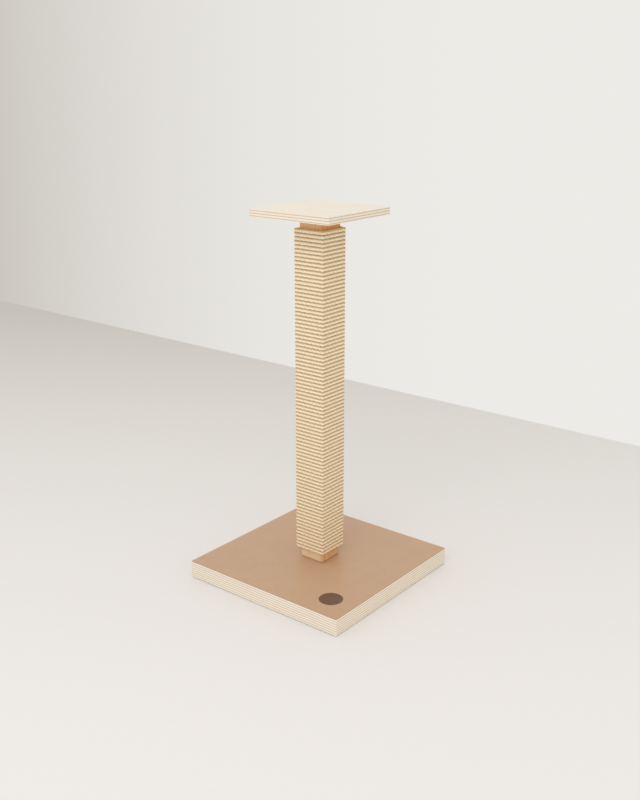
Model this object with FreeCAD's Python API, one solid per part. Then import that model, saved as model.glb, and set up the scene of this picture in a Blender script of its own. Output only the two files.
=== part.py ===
import FreeCAD, Part
import itertools
import math
import os
from FreeCAD import Vector

# A square scratching post wound with sisal rope, on a plywood base and under a plywood top board.
# Millimetres. Z is up, the floor is at zero and the axis of the post is at x = 0, y = 0.

# Plywood of both boards: thick plies with a thin cross ply between each two
thick_ply_thickness = 3.9
cross_ply_thickness = 1.4
board_corner_cut = 1.5

# Base
base_side = 400.0
base_face_ply_thickness = 3.9
base_thick_ply_count = 5
laminate_thickness = 0.8
badge_diameter = 50.0
badge_edge_distance = 59.0
badge_clearance = 0.1
pad_side = 30.0
pad_corner_cut = 5.0
pad_thickness = 1.6
pad_edge_distance = 35.0

# Post and rope
core_side = 58.0
core_arris_cut = 1.0
neck_bottom = 24.0
neck_top = 24.0
rope_diameter = 8.0
rope_squeeze = 0.5
rope_turn_gap = 0.52
rope_turns = 87
rope_back_flat = 4.4
rope_front_flat = 4.0
rope_corner_cut = 2.0
rope_end_offset = 10.0

# Top board
top_side = 200.0
top_face_ply_thickness = 1.5
top_thick_ply_count = 2

# Bolt, washer and threaded sleeve between base and post
bolt_diameter = 10.0
bolt_head_width = 17.0
bolt_head_height = 6.4
bolt_engagement = 20.0
bolt_chamfer = 1.0
bolt_clearance = 0.5
bolt_head_recess = 1.0
counterbore_clearance = 1.0
washer_diameter = 24.0
washer_thickness = 2.0
washer_clearance = 0.25
sleeve_diameter = 18.0
sleeve_length = 25.0
sleeve_clearance = 0.05
thread_clearance = 0.1
sleeve_hole_relief = 2.0

# Dowels
dowel_diameter = 10.0
dowel_flat_count = 12
dowel_in_base_board = 10.0
dowel_in_top_board = 11.0
dowel_in_core = 24.0
dowel_clearance = 0.05
dowel_relief = 1.0
dowel_chamfer = 0.8

# Staples that hold the two ends of the rope
staple_wire = 1.2
staple_crown = 7.0
staple_in_core = 10.0
staple_end_distance = 7.0
staple_spacing = 13.0

# A length too small to count
no_length = 1e-6


def ply_stack(face_ply_thickness, thick_ply_count):
    """The plies of a board from the bottom up. Both face plies lie on a cross ply."""
    inner = [cross_ply_thickness, thick_ply_thickness] * thick_ply_count + [cross_ply_thickness]
    return [face_ply_thickness] + inner + [face_ply_thickness]


def whole_plies(plies, depth):
    """The thickness of the fewest whole plies that reach a depth."""
    return next(reached for reached in itertools.accumulate(plies) if reached >= depth)


# Places and heights that follow from the sizes above
base_plies = ply_stack(base_face_ply_thickness, base_thick_ply_count)
top_plies = ply_stack(top_face_ply_thickness, top_thick_ply_count)
counterbore_depth = bolt_head_height + washer_thickness + bolt_head_recess
rope_height = rope_diameter - rope_squeeze
rope_pitch = rope_height + rope_turn_gap
dowel_offset = core_side / 3
staple_height = staple_wire + rope_diameter + staple_in_core
board_bottom = pad_thickness
board_top = board_bottom + sum(base_plies)
base_top = board_top + laminate_thickness
winding_bottom = base_top + neck_bottom
winding_top = winding_bottom + rope_turns * rope_pitch
core_top = winding_top + neck_top
top_face = core_top + sum(top_plies)
washer_seat = board_bottom + whole_plies(base_plies, counterbore_depth)
base_dowel_bottom = board_top - whole_plies(base_plies, dowel_in_base_board)
top_dowel_top = core_top + whole_plies(top_plies, dowel_in_top_board)

dowel_places = [(-dowel_offset, 0.0), (dowel_offset, 0.0)]
badge_place = base_side / 2 - badge_edge_distance

parts = {}


def rod(diameter, bottom, top, place=(0.0, 0.0)):
    """An upright round bar between two heights."""
    return Part.makeCylinder(diameter / 2, top - bottom, Vector(place[0], place[1], bottom))


def square_bar(side, cut, bottom, top, place=(0.0, 0.0)):
    """An upright square bar with its four upright edges cut at 45 degrees."""
    half = side / 2
    inner = half - cut
    outline = [
        (half, -inner), (half, inner), (inner, half), (-inner, half),
        (-half, inner), (-half, -inner), (-inner, -half), (inner, -half),
    ]
    points = [Vector(x + place[0], y + place[1], bottom) for x, y in outline]
    face = Part.Face(Part.makePolygon(points + points[:1]))
    return face.extrude(Vector(0, 0, top - bottom))


def flat_sided_ring(radius, flats, height, place=(0.0, 0.0)):
    """A level outline of equal flats whose corners lie on a circle."""
    angles = [2 * math.pi * k / flats for k in range(flats + 1)]
    x, y = place
    return Part.makePolygon(
        [Vector(x + radius * math.cos(a), y + radius * math.sin(a), height) for a in angles]
    )


def crossing(tools, bottom, top):
    """The tools that reach into the layer between two heights."""
    low = bottom + no_length
    high = top - no_length
    return [tool for tool in tools if tool.BoundBox.ZMin < high and tool.BoundBox.ZMax > low]


def layer(side, bottom, top, tools):
    """One flat square sheet, cut by the tools that reach it."""
    sheet = square_bar(side, board_corner_cut, bottom, top)
    reaching = crossing(tools, bottom, top)
    return sheet.cut(reaching) if reaching else sheet


def board(name, side, bottom, plies, tools):
    """The plies of a board as separate sheets, numbered from the bottom."""
    heights = itertools.accumulate(plies, initial=bottom)
    for number, (low, high) in enumerate(itertools.pairwise(heights), 1):
        parts[name % number] = layer(side, low, high, tools)


def dowel(bottom, top, place):
    """A wooden dowel with flats that let the glue out, and both ends bevelled."""
    radius = dowel_diameter / 2
    tip = radius - dowel_chamfer
    outlines = [
        (tip, bottom), (radius, bottom + dowel_chamfer), (radius, top - dowel_chamfer), (tip, top)
    ]
    rings = [flat_sided_ring(r, dowel_flat_count, z, place) for r, z in outlines]
    return Part.makeLoft(rings, True, True)


# Holes through the base board and the sheet on it
bolt_hole = rod(bolt_diameter + 2 * bolt_clearance, board_bottom, base_top)
counterbore = rod(washer_diameter + 2 * counterbore_clearance, board_bottom, washer_seat)
base_dowel_holes = [
    rod(dowel_diameter + 2 * dowel_clearance, base_dowel_bottom, base_top, place)
    for place in dowel_places
]
badge_hole = rod(
    badge_diameter + 2 * badge_clearance, board_top, base_top, (badge_place, -badge_place)
)
base_holes = [bolt_hole, counterbore, badge_hole] + base_dowel_holes

# Base: thirteen plies, the brown sheet, the bare badge and four pads
board("base_ply_%02d", base_side, board_bottom, base_plies, base_holes)
parts["base_laminate"] = layer(base_side, board_top, base_top, base_holes)
parts["badge_disc"] = rod(badge_diameter, board_top, base_top, (badge_place, -badge_place))

pad_reach = base_side / 2 - pad_edge_distance
pad_places = {
    "foot_pad_front_left": (-pad_reach, -pad_reach),
    "foot_pad_front_right": (pad_reach, -pad_reach),
    "foot_pad_back_left": (-pad_reach, pad_reach),
    "foot_pad_back_right": (pad_reach, pad_reach),
}
for name, place in pad_places.items():
    parts[name] = square_bar(pad_side, pad_corner_cut, 0.0, board_bottom, place)

# Top board: seven plies, held by dowels that stop below its upper plies
top_dowel_holes = [
    rod(dowel_diameter + 2 * dowel_clearance, core_top, top_dowel_top, place)
    for place in dowel_places
]
board("top_ply_%d", top_side, core_top, top_plies, top_dowel_holes)

# Dowels stand on the floor of their holes in the base, or end against the roof of those in the top board
parts["base_dowels"] = Part.makeCompound([
    dowel(base_dowel_bottom, base_top + dowel_in_core, place) for place in dowel_places
])
parts["top_dowels"] = Part.makeCompound([
    dowel(core_top - dowel_in_core, top_dowel_top, place) for place in dowel_places
])

# Hexagon head bolt from below, its washer, and the sleeve in the post's end grain
washer_bottom = washer_seat - washer_thickness
bolt_tip = base_top + bolt_engagement
head_bottom = washer_bottom - bolt_head_height
shank = rod(bolt_diameter, washer_bottom, bolt_tip - bolt_chamfer)
tip = Part.makeCone(
    bolt_diameter / 2, bolt_diameter / 2 - bolt_chamfer, bolt_chamfer, Vector(0, 0, bolt_tip - bolt_chamfer)
)
head_outline = flat_sided_ring(bolt_head_width / math.sqrt(3), 6, head_bottom)
head = Part.Face(head_outline).extrude(Vector(0, 0, bolt_head_height))
parts["base_bolt"] = shank.fuse([tip, head]).removeSplitter()
parts["base_washer"] = rod(washer_diameter, washer_bottom, washer_seat).cut(
    rod(bolt_diameter + 2 * washer_clearance, washer_bottom, washer_seat)
)
sleeve_top = base_top + sleeve_length
parts["post_threaded_sleeve"] = rod(sleeve_diameter, base_top, sleeve_top).cut(
    rod(bolt_diameter + 2 * thread_clearance, base_top, sleeve_top)
)

# Rope: one unbroken cord of six flats, pressed on the post. Each turn lies level on three faces of the
# post and climbs by one turn across the back face, so the lines of the front faces stay level.
half_height = rope_height / 2
back_half = rope_back_flat / 2
front_half = rope_front_flat / 2
widest = rope_diameter - (half_height - front_half)
section = [
    (0.0, back_half), (0.0, -back_half), (widest, -half_height),
    (rope_diameter, -front_half), (rope_diameter, front_half), (widest, half_height),
]


def reach(out):
    """Half the width of the winding at a distance out from the faces of the post."""
    return core_side / 2 + out


def run(out):
    """Half the straight length of the winding along one face at that distance."""
    cut = core_arris_cut + (rope_corner_cut - core_arris_cut) * out / rope_diameter
    return reach(out) - cut


def level_ring(x_sign, y_sign, along_x, height):
    """The section where it enters or leaves a corner of the post."""
    points = []
    for out, rise in section:
        x = x_sign * (run(out) if along_x else reach(out))
        y = y_sign * (reach(out) if along_x else run(out))
        points.append(Vector(x, y, height + rise))
    return points


def climbing_ring(x, height):
    """The section on the back face, part of the way up a climb that starts at the given height."""
    points = []
    for out, rise in section:
        climbed = rope_pitch * (run(out) - x) / (2 * run(out))
        points.append(Vector(x, reach(out), height + climbed + rise))
    return points


corner_order = [
    (-1, 1, True), (-1, 1, False), (-1, -1, False), (-1, -1, True),
    (1, -1, True), (1, -1, False), (1, 1, False), (1, 1, True),
]
first_level = winding_bottom + rope_pitch / 2
last_level = winding_top - rope_pitch / 2
rings = [climbing_ring(rope_end_offset, first_level - rope_pitch)]
for turn in range(rope_turns):
    for x_sign, y_sign, along_x in corner_order:
        rings.append(level_ring(x_sign, y_sign, along_x, first_level + turn * rope_pitch))
rings.append(climbing_ring(-rope_end_offset, last_level))


def strip(near, far):
    """The faces between two neighbouring sections: four-cornered where flat, else three-cornered."""
    faces = []
    for k in range(len(near)):
        a, b = near[k], near[k - 1]
        c, d = far[k - 1], far[k]
        normal = (b - a).cross(c - a)
        if abs(normal.dot(d - a)) < no_length * normal.Length:
            faces.append(Part.Face(Part.makePolygon([a, b, c, d, a])))
        else:
            faces.append(Part.Face(Part.makePolygon([a, b, c, a])))
            faces.append(Part.Face(Part.makePolygon([a, c, d, a])))
    return faces


rope_faces = [Part.Face(Part.makePolygon(ring + ring[:1])) for ring in (rings[0], rings[-1])]
for near, far in zip(rings, rings[1:]):
    rope_faces.extend(strip(near, far))
rope_shell = Part.makeShell(rope_faces)
rope_shell.sewShape()
rope = Part.Solid(rope_shell)
if rope.Volume < 0:
    rope.reverse()


def axis_point(ring):
    """The middle of a section, halfway between its back and front flats."""
    return (ring[0] + ring[1] + ring[3] + ring[4]) / 4


def from_edge(point, start, end):
    """The distance of a point from a straight edge."""
    along = end - start
    share = (point - start).dot(along) / along.dot(along)
    return (point - start - along * min(1.0, max(0.0, share))).Length


def gap_to_next_turn(start):
    """The least gap from points on the upper side of one stretch to the lower edges of the next turn's."""
    near, far = rings[start:start + 2]
    next_near, next_far = rings[start + len(corner_order):start + len(corner_order) + 2]
    shares = [0.0, 0.25, 0.5, 0.75, 1.0]
    upper, lower = (4, 5, 0), (1, 2, 3)
    points = [near[k] + (far[k] - near[k]) * share for share in shares for k in upper]
    return min(from_edge(p, next_near[k], next_far[k]) for p in points for k in lower)


least_gap = min(gap_to_next_turn(start) for start in range(len(rings) - len(corner_order) - 1))
rope_axis = [axis_point(ring) for ring in rings]
rope_length = sum((b - a).Length for a, b in zip(rope_axis, rope_axis[1:]))
print("rope: %d turns, %.1f m long, least gap %.2f mm" % (rope_turns, rope_length / 1000, least_gap))


def staple(x, height):
    """A staple driven through the rope into the back face, its crown along the rope."""
    half = staple_crown / 2
    inner = half - staple_wire
    outline = [
        (-half, 0), (half, 0), (half, -staple_height), (inner, -staple_height),
        (inner, -staple_wire), (-inner, -staple_wire), (-inner, -staple_height), (-half, -staple_height),
    ]
    points = [Vector(u, v, -staple_wire / 2) for u, v in outline]
    shape = Part.Face(Part.makePolygon(points + points[:1])).extrude(Vector(0, 0, staple_wire))
    middle = run(rope_diameter)
    climb = rope_pitch * (middle - x) / (2 * middle)
    slope = math.degrees(math.atan(rope_pitch / (2 * middle)))
    shape.rotate(Vector(0, 0, 0), Vector(0, 1, 0), slope)
    shape.translate(Vector(x, reach(rope_diameter) + staple_wire, height + climb))
    return shape


staple_reach = [staple_end_distance, staple_end_distance + staple_spacing]
staples = [staple(rope_end_offset - s, first_level - rope_pitch) for s in staple_reach]
staples += [staple(s - rope_end_offset, last_level) for s in staple_reach]
parts["rope_staples"] = Part.makeCompound(staples)
parts["sisal_rope"] = rope.cut(staples)

# Post: square timber with holes for the sleeve, the dowels and the staples
core_holes = [rod(sleeve_diameter + 2 * sleeve_clearance, base_top, sleeve_top + sleeve_hole_relief)]
dowel_hole_depth = dowel_in_core + dowel_relief
for bottom, top in ((base_top, base_top + dowel_hole_depth), (core_top - dowel_hole_depth, core_top)):
    core_holes += [rod(dowel_diameter + 2 * dowel_clearance, bottom, top, p) for p in dowel_places]
core = square_bar(core_side, core_arris_cut, base_top, core_top)
parts["post_core"] = core.cut(core_holes + staples)

os.makedirs("parts", exist_ok=True)
for name, shape in parts.items():
    solids = shape.Solids
    if not solids or not all(s.isValid() and s.isClosed() for s in solids):
        raise ValueError("not a closed solid: " + name)
    shape.exportStep("parts/" + name + ".step")
print("overall height %.1f mm, %d nodes" % (top_face, len(parts)))
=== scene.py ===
import math

import bpy
import numpy as np
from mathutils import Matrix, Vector


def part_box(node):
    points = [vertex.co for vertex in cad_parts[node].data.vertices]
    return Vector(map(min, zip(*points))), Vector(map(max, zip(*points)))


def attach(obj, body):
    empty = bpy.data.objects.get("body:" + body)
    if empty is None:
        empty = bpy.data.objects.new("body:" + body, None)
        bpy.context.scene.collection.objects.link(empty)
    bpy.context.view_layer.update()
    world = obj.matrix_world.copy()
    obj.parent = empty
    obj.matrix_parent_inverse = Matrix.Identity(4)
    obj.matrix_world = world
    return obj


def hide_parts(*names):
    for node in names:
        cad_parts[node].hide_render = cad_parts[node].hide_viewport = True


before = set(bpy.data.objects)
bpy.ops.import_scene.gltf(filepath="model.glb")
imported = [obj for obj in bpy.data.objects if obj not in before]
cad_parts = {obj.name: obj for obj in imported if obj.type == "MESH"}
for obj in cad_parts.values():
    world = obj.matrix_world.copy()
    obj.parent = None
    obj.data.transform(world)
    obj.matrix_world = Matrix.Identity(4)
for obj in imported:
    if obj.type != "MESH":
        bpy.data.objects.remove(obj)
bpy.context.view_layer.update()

# A square scratching post wound with sisal rope. Metres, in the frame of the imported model.

# Camera: it looks at the axis of the post
camera_azimuth = math.radians(38.62)
camera_elevation = math.radians(18.10)
camera_distance = 2.133
camera_aim_height = 0.398
camera_lens = 45.6

# Fixed level directions, to the right of the photo and into its depth
photo_right = (math.cos(camera_azimuth), math.sin(camera_azimuth), 0.0)
photo_depth = (-math.sin(camera_azimuth), math.cos(camera_azimuth), 0.0)

# Light
world_strength = 0.90
key_place = Vector((1.47, -3.86, 3.98))
key_aim = Vector((0.0, 0.0, 0.35))
key_side = 3.7
key_power = 69.0

# Floor: it darkens a little with depth, and past the wall line it lets the backdrop show
floor_half_side = 14.0
floor_near, floor_deep = -0.5, 2.5
floor_fall = 1.3
wall_line = 1.197
wall_line_blur = 0.005

# Backdrop: it darkens to the left of the photo. Places are shares of a direction of length 1.
backdrop_left, backdrop_right = -0.3, 0.3
backdrop_fall = 3.3
backdrop_side, backdrop_ahead = 0.3, 0.8

# Post: its rings lie round a pith outside it, its darker heartwood is on the +X side, painted shade
# makes it redder upwards, and a painted shadow line of a few millimetres runs round its foot
pith_place = (-0.055, -0.045)
rings_per_metre = 340.0
ring_warp = 5.0
sapwood_end, heartwood_start = 0.020, 0.029
upper_shade_start_height, upper_shade_full_height = 0.20, 0.78
foot_shadow_top, foot_shadow_full = 0.0032, 0.0012

# Rope: the same winding as the solid, with rounder corners
core_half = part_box("post_core")[1].x
rope_low, rope_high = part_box("sisal_rope")
rope_diameter = rope_high.x - core_half
rope_turns = 87
rope_pitch = 0.00802
winding_rise = (rope_turns - 1) * rope_pitch
first_turn_height = (rope_low.z + rope_high.z) / 2 - winding_rise / 2
last_turn_height = first_turn_height + winding_rise
rope_end_offset = 0.010
rope_squareness = 6.5
inner_corner_radius = 0.001
outer_corner_radius = 0.0016
steps_per_face = 23
steps_per_corner = 3

# Points round the rope, in degrees from straight out. Most of them are on the side that shows.
section_degrees = (-140, -78, -46, -34, -18, 0, 18, 34, 46, 78, 140)

# Twist of the rope: its strands go once round it in the length of the lay
rope_lay = 0.032
strand_count = 3
yarns_per_strand = 4
front_groove_share = 0.12
side_groove_share = 0.02

# Unevenness of the rope
rope_seed = 11
rope_sway = 0.0001
rope_swell = 0.02
sway_wavelengths = (0.31, 0.113, 0.047)

# Colours of a turn: a bright band a little below its middle, between two bands of painted shade where it
# meets the turns next to it, and a golden strip of painted reflected light on the last turn. The bands'
# edges are sines of the angle round the rope, and the strip's are heights above the middle of that turn.
band_tilt = math.radians(12)
bright_end, dark_start = 0.30, 0.66
golden_start, golden_full = 0.0030, 0.0034

# The rope's layout for baked textures
bake_columns = 3
bake_margin = 0.12


def srgb(red, green, blue):
    """A colour in screen values of 0 to 255, as the shader's linear numbers."""
    shares = [value / 255 for value in (red, green, blue)]
    linear = [s / 12.92 if s <= 0.04045 else ((s + 0.055) / 1.055) ** 2.4 for s in shares]
    return (*linear, 1.0)


class NodeTree:
    """The nodes of a material or of the world, and short calls that add to them."""

    def __init__(self, tree):
        self.nodes = tree.nodes
        self.links = tree.links

    def set(self, socket, value):
        """Joins a socket to another node's output, or gives it a fixed value."""
        if isinstance(value, bpy.types.NodeSocket):
            self.links.new(value, socket)
        else:
            socket.default_value = value

    def add(self, kind, inputs=(), **options):
        """A new node with its options and inputs set."""
        node = self.nodes.new(kind)
        for name, value in options.items():
            setattr(node, name, value)
        for name, value in dict(inputs).items():
            self.set(node.inputs[name], value)
        return node

    def place(self, source, scale=(1.0, 1.0, 1.0), shift=(0.0, 0.0, 0.0)):
        """Texture coordinates of a kind, stretched and moved."""
        coordinates = self.add("ShaderNodeTexCoord").outputs[source]
        inputs = {"Vector": coordinates, "Location": shift, "Scale": scale}
        return self.add("ShaderNodeMapping", inputs).outputs["Vector"]

    def reach(self, x, y):
        """How far a point of the object lies from the upright line through a place."""
        level = self.place("Object", (1.0, 1.0, 0.0), (-x, -y, 0.0))
        return self.add("ShaderNodeVectorMath", {"Vector": level}, operation="LENGTH").outputs["Value"]

    def noise(self, vector, detail, roughness=0.5, distortion=0.0):
        """Soft noise from 0 to 1."""
        inputs = {
            "Vector": vector, "Scale": 1.0, "Detail": detail,
            "Roughness": roughness, "Distortion": distortion,
        }
        return self.add("ShaderNodeTexNoise", inputs).outputs["Fac"]

    def math(self, operation, first, second=0.0):
        """The result of one operation on two values."""
        node = self.add("ShaderNodeMath", operation=operation)
        self.set(node.inputs[0], first)
        self.set(node.inputs[1], second)
        return node.outputs[0]

    def times(self, first, second):
        """One value times another."""
        return self.math("MULTIPLY", first, second)

    def span(self, value, low, high, out_low=0.0, out_high=1.0):
        """Where a value lies between low and high, as a number between the two out values."""
        inputs = {
            "Value": value, "From Min": low, "From Max": high, "To Min": out_low, "To Max": out_high,
        }
        return self.add("ShaderNodeMapRange", inputs).outputs["Result"]

    def blend(self, factor, first, second, how="MIX"):
        """A colour between two, or one laid over the other."""
        node = self.add("ShaderNodeMix", data_type="RGBA", blend_type=how)
        self.set(node.inputs[0], factor)
        self.set(node.inputs[6], first)
        self.set(node.inputs[7], second)
        return node.outputs[2]

    def parts(self, vector):
        """The three numbers of a vector."""
        return self.add("ShaderNodeSeparateXYZ", {"Vector": vector}).outputs

    def joined(self, x, y, z=0.0):
        """A vector from three numbers."""
        return self.add("ShaderNodeCombineXYZ", {"X": x, "Y": y, "Z": z}).outputs["Vector"]

    def dot(self, vector, direction):
        """How far a vector reaches along a fixed direction."""
        node = self.add("ShaderNodeVectorMath", operation="DOT_PRODUCT")
        self.set(node.inputs[0], vector)
        self.set(node.inputs[1], direction)
        return node.outputs["Value"]

    def mixed(self, factor, first, second):
        """A shader between two."""
        node = self.add("ShaderNodeMixShader", {"Fac": factor})
        self.set(node.inputs[1], first.outputs[0])
        self.set(node.inputs[2], second.outputs[0])
        return node.outputs["Shader"]


class Surface(NodeTree):
    """A material in the making, with one main shader."""

    def __init__(self, name):
        self.material = bpy.data.materials.new(name)
        self.material.use_nodes = True
        super().__init__(self.material.node_tree)
        self.shader = self.nodes["Principled BSDF"]

    def finish(self, **values):
        """Sets the shader's sockets, named with underscores for spaces, and gives back the material."""
        for name, value in values.items():
            self.set(self.shader.inputs[name.replace("_", " ")], value)
        return self.material

    def on_sides(self):
        """1 on upright faces and 0 on level ones."""
        normal = self.add("ShaderNodeNewGeometry").outputs["True Normal"]
        levelness = self.math("ABSOLUTE", self.parts(normal)["Z"])
        return self.span(levelness, 0.4, 0.6, 1.0, 0.0)

    def bump(self, height, distance, strength):
        """A normal from a height, with the depth given in metres."""
        inputs = {"Height": height, "Distance": distance, "Strength": strength}
        return self.add("ShaderNodeBump", inputs).outputs["Normal"]


def drawn_out(grain, along, across):
    """The scales of a pattern that is drawn out along one axis."""
    return [along if axis == grain else across for axis in "XYZ"]


def ply_material(name, face, streak, edge, grain):
    """Birch veneer with its fibres along one axis, and a thin glue line where plies meet on an edge."""
    surface = Surface(name)
    flame_place = surface.place("Object", drawn_out(grain, along=9.0, across=240.0))
    pore_place = surface.place("Object", drawn_out(grain, along=70.0, across=2600.0))
    drift = surface.noise(surface.place("Object", (5.0, 5.0, 60.0)), detail=2.0)
    flame = surface.noise(flame_place, detail=4.0, roughness=0.6, distortion=0.4)
    pores = surface.noise(pore_place, detail=2.0)
    sides = surface.on_sides()
    body = surface.blend(sides, face, edge)
    colour = surface.blend(surface.span(flame, 0.42, 0.75, 0.0, 0.45), body, streak)
    colour = surface.blend(surface.span(drift, 0.3, 0.7, 0.0, 0.06), colour, streak, "MULTIPLY")
    dark_pore = surface.span(pores, 0.60, 0.74, 0.0, 0.14)
    colour = surface.blend(dark_pore, colour, srgb(186, 150, 112))
    share_of_thickness = surface.parts(surface.place("Generated"))["Z"]
    from_middle = surface.math("ABSOLUTE", surface.math("SUBTRACT", share_of_thickness, 0.5))
    glue = surface.times(surface.span(from_middle, 0.45, 0.49, 0.0, 0.5), sides)
    colour = surface.blend(glue, colour, srgb(170, 140, 108))
    height = surface.math("ADD", flame, surface.times(pores, 0.6))
    return surface.finish(
        Base_Color=colour,
        Roughness=surface.span(flame, 0.3, 0.7, 0.52, 0.66),
        Normal=surface.bump(height, distance=0.00008, strength=0.5),
        Specular_IOR_Level=0.35,
    )


def laminate_material():
    """Brown satin sheet with a faint mottle, and its darker core on the cut edges."""
    surface = Surface("brown_laminate")
    mottle = surface.noise(surface.place("Object", (38.0, 38.0, 38.0)), detail=4.0, roughness=0.6)
    cloud = surface.noise(surface.place("Object", (6.0, 6.0, 6.0)), detail=2.0)
    skin = surface.noise(surface.place("Object", (1500.0, 1500.0, 1500.0)), detail=1.0)
    face = surface.blend(surface.span(mottle, 0.3, 0.7), srgb(189, 154, 123), srgb(195, 161, 131))
    face = surface.blend(surface.span(cloud, 0.35, 0.65, 0.0, 0.4), face, srgb(188, 152, 121))
    colour = surface.blend(surface.on_sides(), face, srgb(150, 112, 82))
    return surface.finish(
        Base_Color=colour,
        Roughness=surface.span(mottle, 0.3, 0.7, 0.34, 0.44),
        Normal=surface.bump(skin, distance=0.00003, strength=0.35),
        Specular_IOR_Level=0.5,
    )


def post_material():
    """Warm timber with its rings cut lengthways along the post, painted shade that reddens it upwards,
    and a painted shadow line at its foot.
    """
    surface = Surface("post_wood")
    warp = surface.noise(surface.place("Object", (14.0, 14.0, 2.2)), detail=2.0)
    even_rings = surface.times(surface.reach(*pith_place), rings_per_metre)
    ring = surface.math("FRACT", surface.math("ADD", even_rings, surface.times(warp, ring_warp)))
    late_wood = surface.span(ring, 0.45, 0.95)
    fibres = surface.noise(surface.place("Object", (1800.0, 1800.0, 28.0)), detail=3.0)
    sapwood = surface.blend(late_wood, srgb(235, 209, 172), srgb(222, 186, 140))
    heartwood = surface.blend(late_wood, srgb(228, 182, 130), srgb(208, 156, 100))
    upper_shade_tint = surface.blend(late_wood, srgb(255, 240, 224), srgb(255, 237, 216))
    place = surface.parts(surface.place("Object"))
    in_heartwood = surface.span(place["X"], sapwood_end, heartwood_start)
    colour = surface.blend(in_heartwood, sapwood, heartwood)
    # Painted shade: the wood darkens and reddens towards the top, under the top board
    painted_upper_shade = surface.span(place["Z"], upper_shade_start_height, upper_shade_full_height)
    colour = surface.blend(painted_upper_shade, colour, upper_shade_tint, "MULTIPLY")
    colour = surface.blend(surface.span(fibres, 0.5, 0.75, 0.0, 0.4), colour, srgb(168, 116, 70))
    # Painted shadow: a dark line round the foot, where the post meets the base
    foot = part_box("post_core")[0].z
    painted_foot_shadow = surface.span(place["Z"], foot + foot_shadow_top, foot + foot_shadow_full, 0.0, 0.6)
    colour = surface.blend(painted_foot_shadow, colour, srgb(118, 82, 50))
    height = surface.math("SUBTRACT", surface.times(ring, 0.4), fibres)
    return surface.finish(
        Base_Color=colour,
        Roughness=surface.span(fibres, 0.3, 0.7, 0.5, 0.65),
        Normal=surface.bump(height, distance=0.0001, strength=0.5),
        Specular_IOR_Level=0.4,
    )


def dowel_material():
    """Pale beech with short dark flecks along the dowel."""
    surface = Surface("dowel_wood")
    fibres = surface.noise(surface.place("Object", (1400.0, 1400.0, 90.0)), detail=3.0)
    flecks = surface.noise(surface.place("Object", (900.0, 900.0, 300.0)), detail=1.0)
    colour = surface.blend(surface.span(fibres, 0.35, 0.7), srgb(222, 190, 150), srgb(205, 166, 122))
    colour = surface.blend(surface.span(flecks, 0.66, 0.74, 0.0, 0.6), colour, srgb(160, 112, 72))
    return surface.finish(
        Base_Color=colour,
        Roughness=surface.span(fibres, 0.3, 0.7, 0.55, 0.7),
        Normal=surface.bump(fibres, distance=0.0001, strength=0.5),
        Specular_IOR_Level=0.35,
    )


def badge_material():
    """Dark brown disc with the faint rings of a turned face. It carries no words."""
    surface = Surface("badge_brown")
    low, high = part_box("badge_disc")
    middle = (low + high) / 2
    radius = surface.reach(middle.x, middle.y)
    rings = surface.noise(surface.joined(surface.times(radius, 2400.0), 0.0), detail=2.0)
    cloud = surface.noise(surface.place("Object", (90.0, 90.0, 90.0)), detail=3.0)
    colour = surface.blend(surface.span(rings, 0.3, 0.7), srgb(97, 68, 55), srgb(107, 77, 62))
    colour = surface.blend(surface.span(cloud, 0.4, 0.7, 0.0, 0.3), colour, srgb(95, 66, 53))
    return surface.finish(
        Base_Color=colour,
        Roughness=surface.span(rings, 0.3, 0.7, 0.36, 0.48),
        Normal=surface.bump(rings, distance=0.00002, strength=0.5),
        Specular_IOR_Level=0.5,
    )


def pad_material():
    """Pressed felt in a dark warm grey."""
    surface = Surface("felt")
    hairs = surface.noise(surface.place("Object", (900.0, 900.0, 2200.0)), detail=4.0, distortion=1.5)
    cloud = surface.noise(surface.place("Object", (160.0, 160.0, 160.0)), detail=2.0)
    colour = surface.blend(surface.span(hairs, 0.35, 0.65), srgb(72, 65, 59), srgb(112, 102, 93))
    colour = surface.blend(surface.span(cloud, 0.4, 0.7, 0.0, 0.4), colour, srgb(62, 56, 51))
    return surface.finish(
        Base_Color=colour,
        Roughness=0.95,
        Sheen_Weight=0.3,
        Normal=surface.bump(hairs, distance=0.0004, strength=0.8),
        Specular_IOR_Level=0.2,
    )


def steel_material():
    """Zinc plated steel, a little uneven."""
    surface = Surface("zinc_steel")
    spangle = surface.noise(surface.place("Object", (420.0, 420.0, 420.0)), detail=3.0)
    brush = surface.noise(surface.place("Object", (3200.0, 3200.0, 260.0)), detail=2.0)
    colour = surface.blend(surface.span(spangle, 0.35, 0.65), srgb(176, 178, 180), srgb(206, 207, 205))
    return surface.finish(
        Base_Color=colour,
        Metallic=1.0,
        Roughness=surface.span(brush, 0.3, 0.7, 0.26, 0.44),
        Normal=surface.bump(brush, distance=0.00003, strength=0.5),
    )


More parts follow.
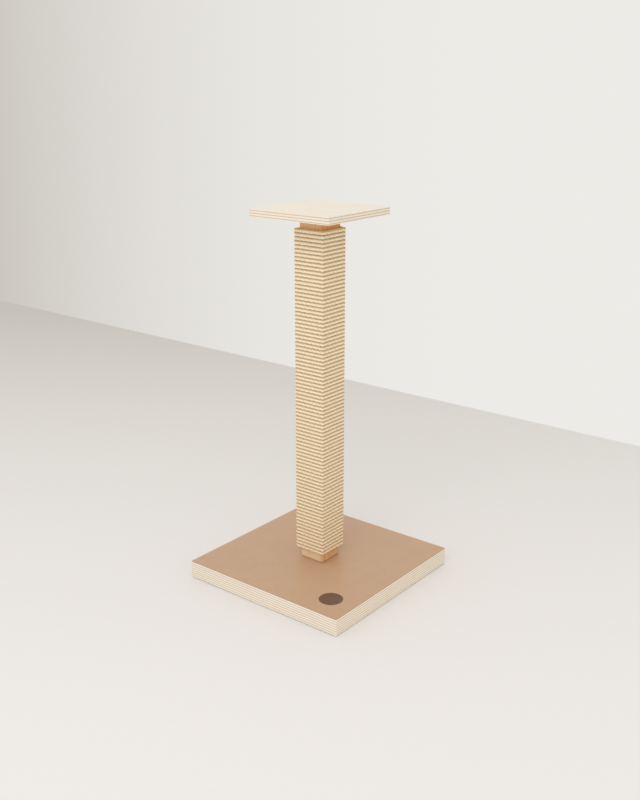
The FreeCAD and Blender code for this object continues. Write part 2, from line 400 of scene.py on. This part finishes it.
def sisal_material():
    """Straw coloured yarns that run with the rope's twist, in bands along each turn, with painted shade
    in the darker bands and the grooves, and a painted reflection on the last turn.
    """
    surface = Surface("sisal")
    lay = surface.parts(surface.add("ShaderNodeUVMap", uv_map="rope_lay").outputs["UV"])
    along, around = lay["X"], lay["Y"]
    twisted = surface.math("ADD", around, surface.math("DIVIDE", along, rope_lay))

    # Fibres, bundles of them, and patches along the rope
    fibre_place = surface.joined(surface.times(along, 70.0), surface.times(twisted, 84.0))
    fibres = surface.noise(fibre_place, detail=3.0, roughness=0.6, distortion=0.3)
    bundle_place = surface.joined(surface.times(along, 24.0), surface.times(twisted, 22.0), 7.0)
    bundles = surface.noise(bundle_place, detail=2.0)
    patch = surface.noise(surface.joined(surface.times(along, 9.0), 3.0), detail=2.0)

    # Grooves between the strands and between the yarns of a strand
    strand_phase = surface.times(twisted, 2 * math.pi * strand_count)
    strand_groove = surface.span(surface.math("COSINE", strand_phase), 0.35, 0.95)
    wander = surface.times(surface.math("SUBTRACT", bundles, 0.5), 4.0)
    yarn_phase = surface.math("ADD", surface.times(strand_phase, yarns_per_strand), wander)
    yarn_groove = surface.span(surface.math("COSINE", yarn_phase), 0.1, 1.0)

    # Bright band, and painted shade in the darker bands below and above it and in the grooves
    turned = surface.math("ADD", surface.times(around, 2 * math.pi), band_tilt)
    rise = surface.math("SINE", turned)
    below = surface.span(rise, -bright_end, -dark_start)
    above = surface.span(rise, bright_end, dark_start)
    light_or_dark = surface.span(fibres, 0.32, 0.66)
    under_shade_colour = surface.blend(light_or_dark, srgb(230, 200, 163), srgb(249, 226, 192))
    upper_shade_colour = surface.blend(light_or_dark, srgb(182, 152, 113), srgb(210, 185, 146))
    colour = surface.blend(light_or_dark, srgb(255, 230, 193), srgb(255, 247, 222))
    colour = surface.blend(surface.span(patch, 0.4, 0.7, 0.0, 0.20), colour, srgb(255, 230, 195))
    colour = surface.blend(below, colour, under_shade_colour)
    colour = surface.blend(above, colour, upper_shade_colour)
    # Painted shade and some dirt darken the grooves between the strands and between the yarns
    colour = surface.blend(surface.times(strand_groove, 0.11), colour, srgb(200, 160, 116))
    colour = surface.blend(surface.times(yarn_groove, 0.16), colour, srgb(208, 168, 124))

    # Golden strip on the last turn: painted warm light reflected from the post's wood
    height = surface.parts(surface.place("Object"))["Z"]
    golden_low, golden_high = last_turn_height + golden_start, last_turn_height + golden_full
    painted_reflection_on_last = surface.span(height, golden_low, golden_high, 0.0, 0.8)
    colour = surface.blend(surface.times(painted_reflection_on_last, above), colour, srgb(255, 206, 116))

    relief = surface.math("ADD", fibres, surface.times(bundles, 0.6))
    relief = surface.math("SUBTRACT", relief, surface.times(strand_groove, 1.2))
    relief = surface.math("SUBTRACT", relief, surface.times(yarn_groove, 0.8))
    return surface.finish(
        Base_Color=colour,
        Sheen_Weight=0.1,
        Roughness=surface.span(fibres, 0.3, 0.7, 0.68, 0.85),
        Normal=surface.bump(relief, distance=0.0005, strength=0.6),
        Specular_IOR_Level=0.3,
    )


def wound_stations():
    """The steps of the winding, one row each: outward side, way along it, share of the face gone,
    turn round the corner after it, and height."""
    faces = [((-1, 0), (0, -1)), ((0, -1), (1, 0)), ((1, 0), (0, 1)), ((0, 1), (-1, 0))]
    back = len(faces) - 1
    middle_run = core_half + rope_diameter / 2 - (inner_corner_radius + outer_corner_radius) / 2
    end_share = (middle_run - rope_end_offset) / (2 * middle_run)
    rows = []

    def face(number, height, first=0.0, last=1.0):
        """One face of the post, from one share of its length to another."""
        outward, onward = faces[number]
        climb = rope_pitch if number == back else 0.0
        steps = max(2, round(steps_per_face * (last - first)))
        for share in np.linspace(first, last, steps, endpoint=False):
            rows.append((*outward, *onward, share, 0.0, height + climb * share))

    def corner(number, height):
        """The corner after that face."""
        outward, onward = faces[number]
        for turn in np.linspace(0.0, math.pi / 2, steps_per_corner, endpoint=False):
            rows.append((*outward, *onward, 1.0, turn, height))

    face(back, first_turn_height - rope_pitch, first=end_share)
    corner(back, first_turn_height)
    for turn in range(rope_turns):
        height = first_turn_height + turn * rope_pitch
        for number in range(back):
            face(number, height)
            corner(number, height)
        if turn < rope_turns - 1:
            face(back, height)
            corner(back, height + rope_pitch)
        else:
            face(back, height, last=1.0 - end_share)
    return np.array(rows)


def wound_points(stations, out, rise):
    """Points at a distance out from the post's faces and up from the winding's middle line."""
    outward = stations[:, None, 0:2]
    onward = stations[:, None, 2:4]
    share, turn, height = (stations[:, None, column] for column in (4, 5, 6))
    radius = inner_corner_radius + (outer_corner_radius - inner_corner_radius) * out / rope_diameter
    run = core_half + out - radius
    across = run + radius * np.cos(turn)
    along = run * (2 * share - 1) + radius * np.sin(turn)
    level = outward * across[:, :, None] + onward * along[:, :, None]
    return np.concatenate([level, (height + rise)[:, :, None]], axis=2)


def length_at(stations):
    """Metres along the rope's middle line at each step of the winding."""
    middle = wound_points(stations, np.full((len(stations), 1), rope_diameter / 2), 0.0)[:, 0]
    steps = np.linalg.norm(np.diff(middle, axis=0), axis=1)
    return np.concatenate([[0.0], np.cumsum(steps)])


def pressed_outline(angle):
    """How far the squarish, pressed rope reaches from its middle, at an angle from straight out."""
    wide = np.abs(np.cos(angle)) / (rope_diameter / 2)
    tall = np.abs(np.sin(angle)) / (rope_pitch / 2)
    return (wide ** rope_squareness + tall ** rope_squareness) ** (-1 / rope_squareness)


def uneven(length, random):
    """A slow, even-handed wander from -1 to 1 along the rope."""
    waves = [np.sin(2 * math.pi * (length / w + random.random())) for w in sway_wavelengths]
    return sum(waves) / len(waves)


def rope_rings(stations, length):
    """Rings of points round the rope, with the relief of its strands and its unevenness."""
    random = np.random.default_rng(rope_seed)
    angle = np.radians(section_degrees)
    twisted = angle / (2 * math.pi) + length[:, None] / rope_lay
    crest = -np.cos(2 * math.pi * strand_count * twisted) / 2
    swell = 1 + rope_swell * uneven(length, random)
    size = pressed_outline(angle) * swell[:, None]
    forward = size * np.cos(angle) * (1 + front_groove_share * crest)
    upward = size * np.sin(angle) * (1 + side_groove_share * crest)
    out = rope_diameter / 2 + forward + rope_sway * uneven(length, random)[:, None]
    rise = upward + rope_sway * uneven(length, random)[:, None]
    return wound_points(stations, np.clip(out, 0.0, None), rise)


def ring_faces(rings, count):
    """Faces of four corners between rings of points, and the caps on the first and last ring."""
    ring, point = np.meshgrid(np.arange(rings - 1), np.arange(count), indexing="ij")
    following = (point + 1) % count
    sides = np.stack([
        ring * count + point, (ring + 1) * count + point,
        (ring + 1) * count + following, ring * count + following,
    ], axis=2).reshape(-1, 4)
    first_cap = list(range(count))
    last_cap = [(rings - 1) * count + k for k in reversed(range(count))]
    return sides.tolist(), [first_cap, last_cap]


def corners_round(stops, rings):
    """Values that go round the rope, at the four corners of each face between the rings."""
    near, far = stops[:-1], stops[1:]
    return np.tile(np.stack([near, near, far, far], axis=1), (rings - 1, 1))


def add_layout(mesh, name, across, up):
    """Adds a flat layout of the faces between the rings. The caps lie in one point of it."""
    sides = np.stack([across, up], axis=2).reshape(-1, 2)
    caps = np.zeros((2 * len(section_degrees), 2))
    layer = mesh.uv_layers.new(name=name)
    layer.data.foreach_set("uv", np.concatenate([sides, caps]).ravel())


def add_rope_layouts(mesh, length):
    """Adds the layouts that the rope's material and its baked textures use."""
    count = len(section_degrees)
    along = np.stack([length[:-1], length[1:], length[1:], length[:-1]], axis=1)
    along = np.repeat(along, count, axis=0)

    # The rope's own lay, in metres along it and turns round it
    around = np.radians(section_degrees) / (2 * math.pi)
    around = np.append(around, around[0] + 1)
    add_layout(mesh, "rope_lay", along, corners_round(around, len(length)))

    # One strip for each turn, and the same room for each face round the rope
    turn_length = length[-1] / rope_turns
    strip = np.minimum(along[:, :1] // turn_length, rope_turns - 1)
    column, row = strip % bake_columns, strip // bake_columns
    rows = math.ceil(rope_turns / bake_columns)
    keep = 1 - bake_margin
    share_of_turn = (along - strip * turn_length) / turn_length
    share_round = corners_round(np.arange(count + 1) / count, len(length))
    across = (column + bake_margin / 2 + keep * share_of_turn) / bake_columns
    up = (row + bake_margin / 2 + keep * share_round) / rows
    add_layout(mesh, "OFBake", across, up)


def make_rope(material):
    """The whole rope as one closed mesh, with the grooves between its strands."""
    stations = wound_stations()
    length = length_at(stations)
    points = rope_rings(stations, length)
    sides, caps = ring_faces(len(stations), len(section_degrees))
    mesh = bpy.data.meshes.new("sisal_rope_strands")
    mesh.from_pydata(points.reshape(-1, 3).tolist(), [], sides + caps)
    mesh.polygons.foreach_set("use_smooth", [True] * len(sides) + [False] * len(caps))
    add_rope_layouts(mesh, length)
    mesh.materials.append(material)
    mesh.validate()
    rope = bpy.data.objects.new("sisal_rope_strands", mesh)
    bpy.context.scene.collection.objects.link(rope)
    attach(rope, "root")
    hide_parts("sisal_rope")


def dress(names, material):
    """Gives the CAD nodes of these names one material."""
    for name in names:
        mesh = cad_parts[name].data
        mesh.materials.clear()
        mesh.materials.append(material)


def floor_material():
    """Pale floor, darkened with depth by painted shade. Past the wall line the camera sees through it.
    """
    surface = Surface("pale_floor")
    place = surface.place("Object")
    deep = surface.dot(place, photo_depth)
    # Painted shade: the floor darkens with depth
    shade = surface.math("POWER", surface.span(deep, floor_near, floor_deep), floor_fall)
    grain = surface.noise(surface.place("Object", (60.0, 60.0, 60.0)), detail=2.0)
    colour = surface.blend(shade, srgb(233, 231, 230), srgb(201, 198, 192))
    colour = surface.blend(surface.span(grain, 0.3, 0.7, 0.0, 0.02), colour, srgb(190, 184, 178))
    surface.finish(Base_Color=colour, Roughness=0.85, Specular_IOR_Level=0.2)
    wall_start, wall_end = wall_line - wall_line_blur, wall_line + wall_line_blur
    past_wall = surface.span(surface.parts(place)["Y"], wall_start, wall_end)
    seen = surface.add("ShaderNodeLightPath").outputs["Is Camera Ray"]
    clear = surface.add("ShaderNodeBsdfTransparent")
    whole = surface.mixed(surface.times(past_wall, seen), surface.shader, clear)
    surface.set(surface.nodes["Material Output"].inputs["Surface"], whole)
    return surface.material


def make_floor():
    """One wide level square."""
    half = floor_half_side
    corners = [(-half, -half, 0), (half, -half, 0), (half, half, 0), (-half, half, 0)]
    mesh = bpy.data.meshes.new("floor")
    mesh.from_pydata(corners, [], [(0, 1, 2, 3)])
    mesh.materials.append(floor_material())
    floor = bpy.data.objects.new("floor", mesh)
    bpy.context.scene.collection.objects.link(floor)


def make_world():
    """Even light from all round. The backdrop that the camera sees is pale, and painted shade darkens it
    to one side.
    """
    world = bpy.data.worlds.new("studio")
    bpy.context.scene.world = world
    world.use_nodes = True
    sky = NodeTree(world.node_tree)
    direction = sky.place("Generated")
    across = sky.dot(direction, photo_right)
    ahead = sky.dot(direction, photo_depth)
    # Painted shade: the backdrop darkens towards the left
    dim = sky.math("POWER", sky.span(across, backdrop_left, backdrop_right, 1.0, 0.0), backdrop_fall)
    dim = sky.times(dim, sky.span(ahead, backdrop_side, backdrop_ahead))
    backdrop = sky.blend(dim, srgb(237, 235, 231), srgb(203, 199, 192))
    shown = sky.add("ShaderNodeBackground", {"Color": backdrop})
    warm = sky.span(across, 0.0, 1.0)
    tint = sky.blend(warm, srgb(255, 254, 252), srgb(255, 249, 236))
    light = sky.add("ShaderNodeBackground", {"Color": tint, "Strength": world_strength})
    path = sky.add("ShaderNodeLightPath").outputs
    seen = sky.math("MAXIMUM", path["Is Camera Ray"], path["Is Glossy Ray"])
    seen = sky.math("MAXIMUM", seen, path["Is Transmission Ray"])
    sky.set(sky.nodes["World Output"].inputs["Surface"], sky.mixed(seen, light, shown))


def make_key():
    """One large soft lamp above the front, a little to the left of the camera."""
    data = bpy.data.lights.new("key", "AREA")
    data.shape = "SQUARE"
    data.size = key_side
    data.energy = key_power
    data.color = srgb(255, 253, 250)[:3]
    key = bpy.data.objects.new("key", data)
    key.location = key_place
    key.rotation_euler = (key_aim - key_place).to_track_quat("-Z", "Y").to_euler()
    bpy.context.scene.collection.objects.link(key)


def make_camera():
    """The photograph's point of view."""
    data = bpy.data.cameras.new("camera")
    data.lens = camera_lens
    camera = bpy.data.objects.new("camera", data)
    level = math.cos(camera_elevation)
    back = Vector((
        math.sin(camera_azimuth) * level, -math.cos(camera_azimuth) * level, math.sin(camera_elevation)
    ))
    camera.location = Vector((0.0, 0.0, camera_aim_height)) + back * camera_distance
    camera.rotation_euler = (-back).to_track_quat("-Z", "Y").to_euler()
    bpy.context.scene.collection.objects.link(camera)
    bpy.context.scene.camera = camera


pale_ply = ply_material(
    "pale_ply", face=srgb(240, 232, 220), streak=srgb(230, 218, 200), edge=srgb(243, 232, 217), grain="X"
)
dark_ply = ply_material(
    "dark_ply", face=srgb(216, 202, 182), streak=srgb(194, 176, 152), edge=srgb(208, 194, 175), grain="Y"
)
base_plies = sorted(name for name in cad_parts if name.startswith("base_ply"))
top_plies = sorted(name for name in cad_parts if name.startswith("top_ply"))
for plies in (base_plies, top_plies):
    dress(plies[0::2], pale_ply)
    dress(plies[1::2], dark_ply)
dress(["base_laminate"], laminate_material())
dress(["badge_disc"], badge_material())
dress([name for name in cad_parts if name.startswith("foot_pad")], pad_material())
dress(["base_bolt", "base_washer", "post_threaded_sleeve", "rope_staples"], steel_material())
dress(["base_dowels", "top_dowels"], dowel_material())
dress(["post_core"], post_material())
make_rope(sisal_material())

make_floor()
make_world()
make_key()
make_camera()
bpy.context.scene.view_settings.view_transform = "Standard"
